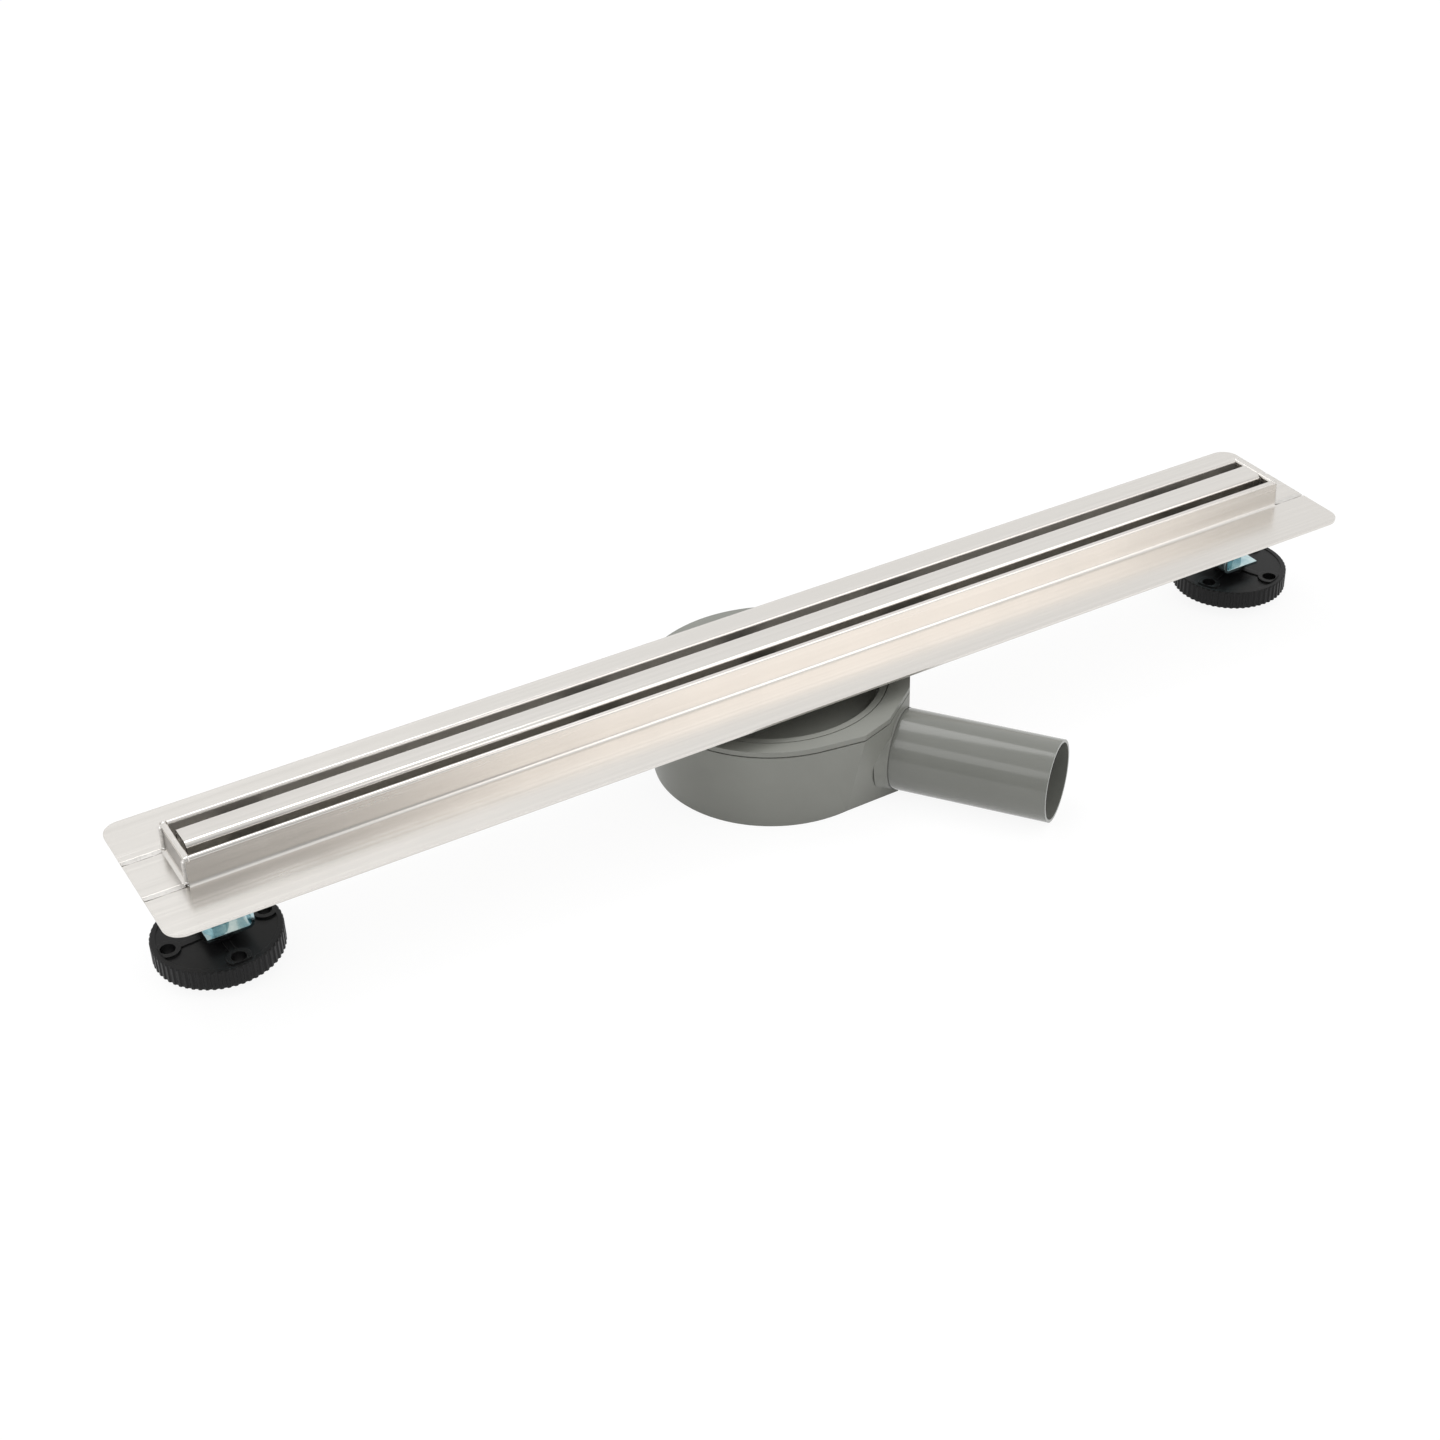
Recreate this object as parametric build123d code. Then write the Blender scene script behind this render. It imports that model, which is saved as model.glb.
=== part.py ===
# Linear shower drain: folded stainless channel with a flat cover strip, two levelling feet
# and a plastic bell trap with a 50 mm side outlet.
# Millimetres. +X runs along the channel, +Z is up, and the origin is on the floor under the
# centre of the trap.
import os
from math import cos, radians, sin, sqrt

from build123d import *

# Channel sheet
DRAIN_LENGTH = 800.0
FLANGE_WIDTH = 115.0
FLANGE_CORNER = 11.0
FLANGE_TOP = 69.0
SHEET = 1.5
END_FLANGE = 25.0
RIM_WIDTH = 40.0
RIM_HEIGHT = 18.0
HEM = 3.6
BASE_BEND = 2.5
TROUGH_DEPTH = 24.2
FLOOR_BEND = 1.5
OUTLET_BORE = 27.0

# Outlet spigot welded under the channel
SPIGOT_WALL = 1.5
SPIGOT_LENGTH = 21.0

# Cover strip and its supports
STRIP_WIDTH = 18.0
STRIP_SHEET = 1.5
STRIP_EDGE = 3.5
STRIP_DEPTH = 9.8
STRIP_PROUD = 0.8
STRIP_END_GAP = 1.4
SUPPORT_SHEET = 1.2
SUPPORT_LENGTH = 20.0
SUPPORT_COUNT = 4
SUPPORT_BEND = 1.0
SUPPORT_END_MARGIN = 45.0
SUPPORT_GAP = 0.3

# End plates and their welds
END_JOINT_INSET = 2.0
SEAM_WIDTH = 4.4
SEAM_ROOT_WIDTH = 2.0
SEAM_SINK = 0.8
CORNER_BEAD = 3.0

# Foot brackets
FOOT_INSET = 40.0
BRACKET_WIDTH = 30.0
BRACKET_SHEET = 2.0
BRACKET_BEND = 2.0
BRACKET_TOP = 26.0
BRACKET_OUTREACH = 9.7
BRACKET_INREACH = 18.0
BRACKET_TAIL = 24.0
BRACKET_HOLE_GAP = 0.5
FIXING_DIAMETER = 6.0
FIXING_LENGTH = 13.0
FIXING_NUT_FLATS = 10.0
FIXING_NUT_HEIGHT = 5.0
FIXING_INSET = 12.0

# Levelling feet
FOOT_DIAMETER = 74.2
FOOT_HEIGHT = 12.6
FOOT_LIFT = 6.8
FOOT_SHELL = 3.0
FOOT_FLUTES = 58
FLUTE_RADIUS = 1.5
FLUTE_BITE = 0.75
FOOT_RIM = 3.4
FOOT_RIM_DROP = 0.7
FOOT_PLATE_DROP = 1.2
HOLE_CIRCLE = 58.0
HOLE_DIAMETER = 8.8
HOLE_COUNT = 4
BOSS_WALL = 2.8
RIB_WIDTH = 4.0
RIB_DROP = 0.5
LEFT_HOLE_TURN = 4.0
RIGHT_HOLE_TURN = 22.0
HUB_DIAMETER = 21.0
HUB_GAP = 0.3
BOLT_DIAMETER = 8.0
BOLT_TOP = 55.0
BOLT_HEAD_FLATS = 13.0
BOLT_HEAD_HEIGHT = 5.3
BOLT_HEAD_FLOOR = 3.0
FOOT_NUT_FLATS = 13.0
FOOT_NUT_HEIGHT = 6.5
THREAD_CLEARANCE = 0.05
NUT_CHAMFER = 0.7

# Trap
TRAP_BASE_RADIUS = 73.9
TRAP_RIM_RADIUS = 80.3
TRAP_HEIGHT = 53.5
TRAP_WALL = 3.0
LID_THICKNESS = 4.0
SEAM_GAP = 0.8
SEAM_DEPTH = 1.0
LID_SEAT = 7.0
LID_LEDGE = 2.0
SKIRT_DEPTH = 6.5
SKIRT_GAP = 0.3
LID_BAND = 10.3
DISH_GAP = 0.6
DISH_RIM = 4.0
DISH_DEPTH = 7.5
DISH_WALL = 2.5
NECK_WALL = 3.8
NECK_GAP = 0.3
SEAL_WIDTH = 2.2
SEAL_HEIGHT = 5.0
SEAL_TOP_INSET = 2.0
RUNNING_CLEARANCE = 0.05
LID_SEAL_SECTION = 1.4
DIP_TUBE_WALL = 2.0
DIP_TUBE_GAP = 1.0
DIP_TUBE_FLANGE = 24.0
DIP_TUBE_FLANGE_THICKNESS = 2.0
DIP_TUBE_FOOT_GAP = 9.0
CUP_RADIUS = 32.0
CUP_HEIGHT = 31.0
CUP_WALL = 2.0

# Outlet
OUTLET_ANGLE = -53.3
PIPE_DIAMETER = 50.0
PIPE_WALL = 1.8
PIPE_LENGTH = 101.5
PIPE_LIFT = 0.2
PIPE_TAPER = 0.4
PIPE_TAPER_LENGTH = 7.5
SOCKET_DEPTH = 3.7
NIPPLE_LENGTH = 22.0
NIPPLE_WALL = 2.1
NIPPLE_ROOT = 1.0
NIPPLE_CLEARANCE = 0.1
BOSS_PROUD = 1.4
BOSS_HALF_WIDTH = 18.0
BOSS_TOE = 10.6
BOSS_TOE_HALF_WIDTH = 9.0
SHOULDER_SETBACK = 5.8
SHOULDER_HALF_WIDTH = 39.5
SHOULDER_TURN = 47.0
BASE_SHOULDER_TURN = 32.0
COLLAR_ROOT = 2.5
COLLAR_LENGTH = 8.0
COLLAR_RISE = 2.5

# Cuts run past the faces that they open
CUT_MARGIN = 1.0

# Levels and faces that follow from the sizes above
DRAIN_END = DRAIN_LENGTH / 2
FLANGE_BOTTOM = FLANGE_TOP - SHEET
RIM_TOP = FLANGE_TOP + RIM_HEIGHT
FLOOR_TOP = RIM_TOP - TROUGH_DEPTH
FLOOR_BOTTOM = FLOOR_TOP - SHEET
INNER_HALF = RIM_WIDTH / 2 - HEM
END_FACE = DRAIN_END - END_FLANGE
INNER_END = END_FACE - HEM
END_JOINT = RIM_WIDTH / 2 - END_JOINT_INSET
STRIP_TOP = RIM_TOP + STRIP_PROUD
SPIGOT_RADIUS = OUTLET_BORE / 2 + SPIGOT_WALL
FOOT_X = DRAIN_END - FOOT_INSET
FOOT_TOP = FOOT_LIFT + FOOT_HEIGHT
BRACKET_BOTTOM = BRACKET_TOP - BRACKET_SHEET
FOOT_RADIUS = FOOT_DIAMETER / 2
LID_TOP = TRAP_HEIGHT + LID_THICKNESS
DISH_RADIUS = TRAP_RIM_RADIUS - LID_BAND
LID_BORE_RADIUS = DISH_RADIUS - LID_SEAT
DISH_FLOOR = LID_TOP - DISH_DEPTH
DISH_UNDERSIDE = DISH_FLOOR - DISH_WALL
PIPE_RADIUS = PIPE_DIAMETER / 2
PIPE_Z = PIPE_RADIUS + PIPE_LIFT
SHOULDER_REACH = TRAP_RIM_RADIUS - SHOULDER_SETBACK
BOSS_REACH = TRAP_RIM_RADIUS + BOSS_PROUD
BOSS_BASE_REACH = TRAP_BASE_RADIUS + BOSS_TOE
SOCKET_START = min(BOSS_REACH, BOSS_BASE_REACH) - SOCKET_DEPTH
SOCKET_RADIUS = PIPE_RADIUS + NIPPLE_CLEARANCE
PIPE_REACH = SOCKET_START + PIPE_LENGTH
NIPPLE_RADIUS = PIPE_RADIUS - PIPE_WALL - NIPPLE_CLEARANCE
NECK_BORE = SPIGOT_RADIUS + RUNNING_CLEARANCE + SEAL_WIDTH
DIP_TUBE_BORE = SPIGOT_RADIUS + DIP_TUBE_GAP

# Middle-line bends and runs of the channel's sheet
BASE_TURN = BASE_BEND + SHEET / 2
HEM_TURN = (HEM - SHEET) / 2
FLOOR_TURN = FLOOR_BEND + SHEET / 2
OUTER_RUN = RIM_HEIGHT - BASE_TURN - HEM_TURN
INNER_RUN = TROUGH_DEPTH - HEM_TURN - FLOOR_TURN

# Direction of the outlet pipe, for plan shapes drawn along it
OUTLET_TURN = Rot(0, 0, OUTLET_ANGLE)


def block(x0, x1, y0, y1, z0, z1):
    """A box between two corners."""
    size = (x1 - x0, y1 - y0, z1 - z0)
    return Pos((x0 + x1) / 2, (y0 + y1) / 2, (z0 + z1) / 2) * Box(*size)


def rod(radius, z0, z1, x=0.0, y=0.0):
    """An upright cylinder between two heights."""
    return Pos(x, y, (z0 + z1) / 2) * Cylinder(radius, z1 - z0)


def ring(outer, inner, z0, z1, x=0.0, y=0.0):
    """An upright tube between two heights."""
    return rod(outer, z0, z1, x, y) - rod(inner, z0, z1, x, y)


def hex_prism(flats, z0, z1, x=0.0, y=0.0):
    """An upright hexagonal bar, measured across its flats."""
    outline = Pos(x, y, z0) * RegularPolygon(flats / 2, 6, major_radius=False)
    return extrude(outline, z1 - z0)


def turned(points):
    """A solid of revolution about Z from (radius, height) points."""
    outline = Polyline(*[(r, 0, z) for r, z in points], close=True)
    return revolve(make_face(outline), Axis.Z)


def fold_side(start, heading, steps, shift):
    """One side of a folded sheet: edges at a distance left of the sheet's middle line."""
    tangent = Vector(cos(radians(heading)), sin(radians(heading)))
    point = Vector(*start) + tangent.rotate(Axis.Z, 90) * shift
    edges = []
    for run, turn, radius in steps:
        if run > 0:
            edges.append(Line(point, point + tangent * run))
            point = edges[-1] @ 1
        if turn:
            bend = radius - shift if turn > 0 else radius + shift
            edges.append(JernArc(point, tangent, bend, turn))
            point = edges[-1] @ 1
            tangent = (edges[-1] % 1).normalized()
    return edges


def folded_sheet(start, heading, steps, thickness):
    """The section of a folded sheet, from straight runs of its middle line and the bends after them."""
    left = fold_side(start, heading, steps, thickness / 2)
    right = fold_side(start, heading, steps, -thickness / 2)
    closing = [Line(left[0] @ 0, right[0] @ 0), Line(left[-1] @ 1, right[-1] @ 1)]
    return make_face(Wire(left + right + closing))


def section_across(face, x0, x1):
    """A section drawn in Y and Z, stretched from x0 to x1."""
    return Pos(x0, 0, 0) * extrude(Plane.YZ * face, x1 - x0)


def section_along(face, half_width):
    """A section drawn in X and Z, stretched to both sides of the middle plane."""
    return extrude(Plane.XZ * face, half_width, both=True)


def mirrored(shape, side):
    """The shape as drawn for the right end, or its mirror image for the left one."""
    return shape if side > 0 else mirror(shape, Plane.YZ)


def channel_section():
    """The channel's section in Y and Z, from the front flange edge to the back one."""
    flange_run = (FLANGE_WIDTH - RIM_WIDTH) / 2 + SHEET / 2 - BASE_TURN
    floor_run = 2 * (INNER_HALF - FLOOR_BEND)
    steps = [
        (flange_run, 90, BASE_TURN),
        (OUTER_RUN, -180, HEM_TURN),
        (INNER_RUN, 90, FLOOR_TURN),
        (floor_run, 90, FLOOR_TURN),
        (INNER_RUN, -180, HEM_TURN),
        (OUTER_RUN, 90, BASE_TURN),
        (flange_run, 0, 0),
    ]
    start = (-FLANGE_WIDTH / 2, FLANGE_TOP - SHEET / 2)
    return folded_sheet(start, 0, steps, SHEET)


def flange_wing(side_x, side_y):
    """The flat stretch of flange beside an end plate, with its rounded outer corner."""
    wing = block(END_FACE, DRAIN_END, END_JOINT, FLANGE_WIDTH / 2, FLANGE_BOTTOM, FLANGE_TOP)
    corner = wing.edges().filter_by(Axis.Z).sort_by(Axis.X)[-2:].sort_by(Axis.Y)[-1]
    wing = fillet(corner, FLANGE_CORNER)
    wing = wing if side_y > 0 else mirror(wing, Plane.XZ)
    return mirrored(wing, side_x)


def flange_seam(side_x, side_y):
    """A weld seam in the flange, sunk into both sheets along the joint and ground flush."""
    joint = side_y * END_JOINT
    outline = [
        (joint - SEAM_WIDTH / 2, FLANGE_TOP),
        (joint + SEAM_WIDTH / 2, FLANGE_TOP),
        (joint + SEAM_ROOT_WIDTH / 2, FLANGE_TOP - SEAM_SINK),
        (joint - SEAM_ROOT_WIDTH / 2, FLANGE_TOP - SEAM_SINK),
    ]
    seam = section_across(make_face(Polyline(*outline, close=True)), END_FACE, DRAIN_END)
    return mirrored(seam, side_x)


def channel_body():
    """The folded channel with its wings beside the end plates and its hole for the outlet."""
    body = section_across(channel_section(), -END_FACE, END_FACE)
    for side_x in (-1, 1):
        end_gap = block(INNER_END, END_FACE, -END_JOINT, END_JOINT, FLOOR_BOTTOM, RIM_TOP)
        body -= mirrored(end_gap, side_x)
        for side_y in (-1, 1):
            body += flange_wing(side_x, side_y)
            body -= flange_seam(side_x, side_y)
    return body - rod(OUTLET_BORE / 2, FLOOR_BOTTOM - CUT_MARGIN, FLOOR_TOP + CUT_MARGIN)


def end_plate(side):
    """An end plate: a strip of flange, the end wall, a rolled hem and the inner end wall."""
    flange_run = END_FLANGE + SHEET / 2 - BASE_TURN
    down_run = TROUGH_DEPTH + SHEET / 2 - HEM_TURN
    steps = [
        (flange_run, -90, BASE_TURN),
        (OUTER_RUN, 180, HEM_TURN),
        (down_run, 0, 0),
    ]
    section = folded_sheet((DRAIN_END, FLANGE_TOP - SHEET / 2), 180, steps, SHEET)
    plate = mirrored(section_along(section, END_JOINT), side)
    return plate - [flange_seam(side, side_y) for side_y in (-1, 1)]


def weld_beads(side):
    """The seams in the flange and the beads up the corners of one end."""
    beads = []
    for side_y in (-1, 1):
        beads.append(flange_seam(side, side_y))
        bead = rod(CORNER_BEAD / 2, FLANGE_TOP + BASE_BEND, RIM_TOP - HEM / 2, END_FACE, side_y * END_JOINT)
        inside = block(INNER_END, END_FACE, -RIM_WIDTH / 2, RIM_WIDTH / 2, FLANGE_TOP, RIM_TOP)
        beads.append(mirrored(bead - inside, side))
    return Compound(children=beads)


def outlet_spigot():
    """The short tube welded under the channel floor around the outlet hole."""
    return ring(SPIGOT_RADIUS, OUTLET_BORE / 2, FLOOR_BOTTOM - SPIGOT_LENGTH, FLOOR_BOTTOM)


def cover_strip():
    """The cover strip: an upturned tray with rounded long edges."""
    bend = STRIP_EDGE - STRIP_SHEET / 2
    leg = STRIP_DEPTH - STRIP_EDGE
    steps = [
        (leg, -90, bend),
        (STRIP_WIDTH - 2 * STRIP_EDGE, -90, bend),
        (leg, 0, 0),
    ]
    start = (-STRIP_WIDTH / 2 + STRIP_SHEET / 2, STRIP_TOP - STRIP_DEPTH)
    section = folded_sheet(start, 90, steps, STRIP_SHEET)
    reach = INNER_END - STRIP_END_GAP
    return section_across(section, -reach, reach)


def support_places():
    """Centres of the strip's supports along the channel."""
    reach = INNER_END - SUPPORT_END_MARGIN
    return [reach * (2 * i / (SUPPORT_COUNT - 1) - 1) for i in range(SUPPORT_COUNT)]


def strip_support(x):
    """A folded hat that holds the strip up and centres it between the channel walls."""
    middle = SUPPORT_SHEET / 2
    bend = SUPPORT_BEND + middle
    half_top = STRIP_WIDTH / 2 - STRIP_SHEET - SUPPORT_GAP - middle
    half_foot = INNER_HALF - FLOOR_BEND - SUPPORT_GAP
    rise = STRIP_TOP - STRIP_SHEET - FLOOR_TOP - SUPPORT_SHEET
    foot_run = half_foot - half_top - bend
    steps = [
        (foot_run, 90, bend),
        (rise - 2 * bend, -90, bend),
        (2 * (half_top - bend), -90, bend),
        (rise - 2 * bend, 90, bend),
        (foot_run, 0, 0),
    ]
    section = folded_sheet((-half_foot, FLOOR_TOP + middle), 0, steps, SUPPORT_SHEET)
    return section_across(section, x - SUPPORT_LENGTH / 2, x + SUPPORT_LENGTH / 2)


def fixing_x():
    """Distance from the middle of the drain to the stud that carries a bracket."""
    return FOOT_X - BRACKET_INREACH - FIXING_INSET


def bracket(side):
    """A bracket bent from strip: tail under the channel, upright and plate for the foot."""
    middle = BRACKET_SHEET / 2
    bend = BRACKET_BEND + middle
    rise = FLOOR_BOTTOM - BRACKET_TOP
    steps = [
        (BRACKET_OUTREACH + BRACKET_INREACH - middle - bend, -90, bend),
        (rise - 2 * bend, 90, bend),
        (BRACKET_TAIL - middle - bend, 0, 0),
    ]
    start = (FOOT_X + BRACKET_OUTREACH, BRACKET_TOP - middle)
    section = folded_sheet(start, 180, steps, BRACKET_SHEET)
    plate = section_along(section, BRACKET_WIDTH / 2)
    plate -= rod(BOLT_DIAMETER / 2 + BRACKET_HOLE_GAP, BRACKET_BOTTOM - CUT_MARGIN, BRACKET_TOP + CUT_MARGIN, FOOT_X)
    fixing_hole = FIXING_DIAMETER / 2 + THREAD_CLEARANCE
    tail_bottom = FLOOR_BOTTOM - BRACKET_SHEET
    plate -= rod(fixing_hole, tail_bottom - CUT_MARGIN, FLOOR_BOTTOM + CUT_MARGIN, fixing_x())
    return mirrored(plate, side)


def nut(flats, bore, z0, z1, x):
    """A hexagon nut with its corners turned down at both ends."""
    blank = hex_prism(flats, z0, z1, x)
    crown = rod(flats / sqrt(3), z0, z1, x)
    crown = chamfer(crown.edges().filter_by(GeomType.CIRCLE), NUT_CHAMFER)
    return (blank & crown) - rod(bore, z0, z1, x)


def bracket_stud(side):
    """The stud welded under the channel, which carries a bracket."""
    return rod(FIXING_DIAMETER / 2, FLOOR_BOTTOM - FIXING_LENGTH, FLOOR_BOTTOM, side * fixing_x())


def bracket_nut(side):
    """The nut that holds a bracket up against the channel."""
    top = FLOOR_BOTTOM - BRACKET_SHEET
    bore = FIXING_DIAMETER / 2 + THREAD_CLEARANCE
    return nut(FIXING_NUT_FLATS, bore, top - FIXING_NUT_HEIGHT, top, side * fixing_x())


def foot_nut(side):
    """The nut on the bracket plate, in which the foot's bolt is wound up and down."""
    bore = BOLT_DIAMETER / 2 + THREAD_CLEARANCE
    return nut(FOOT_NUT_FLATS, bore, BRACKET_TOP, BRACKET_TOP + FOOT_NUT_HEIGHT, side * FOOT_X)


def foot_bolt(side):
    """The bolt of a foot, its head held in the hub of the disc."""
    x = side * FOOT_X
    head = FOOT_LIFT + BOLT_HEAD_FLOOR
    shank = rod(BOLT_DIAMETER / 2, head + BOLT_HEAD_HEIGHT, BOLT_TOP, x)
    shank = chamfer(shank.edges().sort_by(Axis.Z)[-1], NUT_CHAMFER)
    return hex_prism(BOLT_HEAD_FLATS, head, head + BOLT_HEAD_HEIGHT, x) + shank


def foot_holes(turn):
    """Centres of the screw holes in a foot, from the middle of the disc."""
    angles = [turn + 360 * i / HOLE_COUNT for i in range(HOLE_COUNT)]
    reach = HOLE_CIRCLE / 2
    return [(reach * cos(radians(a)), reach * sin(radians(a)), a) for a in angles]


def foot_disc(side):
    """A moulded foot: fluted rim, raised hole bosses with ribs, and a hub around the bolt."""
    x = side * FOOT_X
    turn = RIGHT_HOLE_TURN if side > 0 else LEFT_HOLE_TURN
    plate_top = FOOT_TOP - FOOT_PLATE_DROP
    rim_top = FOOT_TOP - FOOT_RIM_DROP
    hub_top = BRACKET_BOTTOM - HUB_GAP
    inner = FOOT_RADIUS - FOOT_RIM
    disc = rod(FOOT_RADIUS, FOOT_LIFT, rim_top, x)
    disc = chamfer(disc.edges().sort_by(Axis.Z)[-1], FOOT_RIM_DROP)
    disc -= rod(inner, plate_top, FOOT_TOP, x)
    disc -= ring(inner, HUB_DIAMETER / 2, FOOT_LIFT, plate_top - FOOT_SHELL, x)
    disc += rod(HUB_DIAMETER / 2, FOOT_LIFT, hub_top, x)
    boss_radius = HOLE_DIAMETER / 2 + BOSS_WALL
    half_rib = RIB_WIDTH / 2
    for dx, dy, angle in foot_holes(turn):
        disc += rod(boss_radius, FOOT_LIFT, FOOT_TOP, x + dx, dy) & rod(inner, FOOT_LIFT, FOOT_TOP, x)
        rib = block(0, HOLE_CIRCLE / 2, -half_rib, half_rib, FOOT_LIFT, FOOT_TOP - RIB_DROP)
        disc += Pos(x, 0, 0) * Rot(0, 0, angle) * rib
    flute_circle = FOOT_RADIUS + FLUTE_RADIUS - FLUTE_BITE
    cuts = [rod(HOLE_DIAMETER / 2, FOOT_LIFT, FOOT_TOP, x + dx, dy) for dx, dy, _ in foot_holes(turn)]
    for i in range(FOOT_FLUTES):
        angle = radians(360 * i / FOOT_FLUTES)
        flute_x = x + flute_circle * cos(angle)
        cuts.append(rod(FLUTE_RADIUS, FOOT_LIFT, FOOT_TOP, flute_x, flute_circle * sin(angle)))
    head = FOOT_LIFT + BOLT_HEAD_FLOOR
    cuts.append(hex_prism(BOLT_HEAD_FLATS, head, head + BOLT_HEAD_HEIGHT, x))
    cuts.append(rod(BOLT_DIAMETER / 2, head, hub_top, x))
    return disc - cuts


def trap_radius(z):
    """Outer radius of the tapered trap wall at a height."""
    return TRAP_BASE_RADIUS + (TRAP_RIM_RADIUS - TRAP_BASE_RADIUS) * z / TRAP_HEIGHT


def boss_outline(z, *near):
    """Plan of the outlet boss at a height, from (along, across) points of its near side."""
    side = [(along, -across) for along, across in near]
    return Pos(0, 0, z) * make_face(Polyline((0, 0), *side, *reversed(near), close=True))


def rim_boss_outline(inset, z):
    """Plan of the boss at the trap's rim, drawn in by an inset, with shoulders at a tangent."""
    radius = TRAP_RIM_RADIUS - inset
    turn = radians(SHOULDER_TURN)
    start = (radius * cos(turn), radius * sin(turn))
    shoulder = (SHOULDER_REACH - inset, SHOULDER_HALF_WIDTH - inset)
    return boss_outline(z, start, shoulder, (BOSS_REACH - inset, BOSS_HALF_WIDTH))


def base_boss_outline():
    """Plan of the boss at the trap's base, where it runs out to a toe under the pipe."""
    turns = (radians(SHOULDER_TURN), radians(BASE_SHOULDER_TURN))
    start, shoulder = [(TRAP_BASE_RADIUS * cos(turn), TRAP_BASE_RADIUS * sin(turn)) for turn in turns]
    return boss_outline(0, start, shoulder, (BOSS_BASE_REACH, BOSS_TOE_HALF_WIDTH))


def lid_plan(inset):
    """Plan of the trap's rim: a circle with the outlet boss, drawn in by an inset."""
    return OUTLET_TURN * (Circle(TRAP_RIM_RADIUS - inset) + rim_boss_outline(inset, 0))


def along_outlet(shape):
    """A shape drawn along X at its own height, turned to the outlet's direction."""
    return OUTLET_TURN * Pos(0, 0, PIPE_Z) * shape


def outlet_bar(radius, start, end):
    """A level solid bar on the outlet's axis."""
    return along_outlet(Pos((start + end) / 2, 0, 0) * Rot(0, 90, 0) * Cylinder(radius, end - start))


def outlet_collar():
    """The hollow-sided collar in which the boss runs out along the pipe."""
    foot = SOCKET_START - COLLAR_ROOT
    end = foot + COLLAR_LENGTH
    crest = SOCKET_RADIUS + COLLAR_RISE
    flank = TangentArc((end, SOCKET_RADIUS), (foot, crest), tangent=(-1, 0))
    outline = flank + Polyline((foot, crest), (foot, 0), (end, 0), (end, SOCKET_RADIUS))
    collar = along_outlet(revolve(make_face(outline), Axis.X))
    return collar & rod(PIPE_REACH, 0, TRAP_HEIGHT)


def trap_body():
    """The bowl of the trap with its outlet boss and the nipple inside the pipe."""
    bowl = turned([(0, 0), (TRAP_BASE_RADIUS, 0), (TRAP_RIM_RADIUS, TRAP_HEIGHT), (0, TRAP_HEIGHT)])
    bowl += OUTLET_TURN * loft([base_boss_outline(), rim_boss_outline(0, TRAP_HEIGHT)], ruled=True)
    bowl += outlet_collar()
    slope = (TRAP_RIM_RADIUS - TRAP_BASE_RADIUS) / TRAP_HEIGHT
    floor_radius = TRAP_BASE_RADIUS - TRAP_WALL + TRAP_WALL * slope
    rim_radius = TRAP_RIM_RADIUS - TRAP_WALL
    bowl -= turned([(0, TRAP_WALL), (floor_radius, TRAP_WALL), (rim_radius, TRAP_HEIGHT), (0, TRAP_HEIGHT)])
    bowl -= outlet_bar(SOCKET_RADIUS, SOCKET_START, PIPE_REACH)
    nipple_end = SOCKET_START + NIPPLE_LENGTH
    bowl += outlet_bar(NIPPLE_RADIUS, SOCKET_START - NIPPLE_ROOT, nipple_end)
    return bowl - outlet_bar(NIPPLE_RADIUS - NIPPLE_WALL, TRAP_BASE_RADIUS / 2, nipple_end)


def skirt_radius():
    """Outer radius of the lid's skirt, clear of the tapered wall at its lower edge."""
    return trap_radius(TRAP_HEIGHT - SKIRT_DEPTH) - TRAP_WALL - SKIRT_GAP


def seal_level():
    """Height of the middle of the lid's seal."""
    return TRAP_HEIGHT - SKIRT_DEPTH / 2


def trap_lid():
    """The ring that closes the bowl, with its skirt and the ledge for the dish."""
    lid = extrude(Pos(0, 0, TRAP_HEIGHT) * lid_plan(0), LID_THICKNESS)
    notch = extrude(Pos(0, 0, TRAP_HEIGHT) * lid_plan(0), SEAM_GAP)
    lid -= notch - extrude(Pos(0, 0, TRAP_HEIGHT) * lid_plan(SEAM_DEPTH), SEAM_GAP)
    skirt_foot = TRAP_HEIGHT - SKIRT_DEPTH
    lid += rod(skirt_radius(), skirt_foot, TRAP_HEIGHT)
    lid -= rod(DISH_RADIUS + DISH_GAP, DISH_UNDERSIDE + LID_LEDGE, LID_TOP)
    lid -= rod(LID_BORE_RADIUS, skirt_foot, LID_TOP)
    groove = skirt_radius() - LID_SEAL_SECTION
    return lid - ring(skirt_radius(), groove, seal_level() - LID_SEAL_SECTION, seal_level() + LID_SEAL_SECTION)


def lid_seal():
    """The round seal between the lid's skirt and the bowl."""
    reach = trap_radius(seal_level() - LID_SEAL_SECTION) - TRAP_WALL - RUNNING_CLEARANCE
    return Pos(0, 0, seal_level()) * Torus(reach - LID_SEAL_SECTION / 2, LID_SEAL_SECTION / 2)


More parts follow.
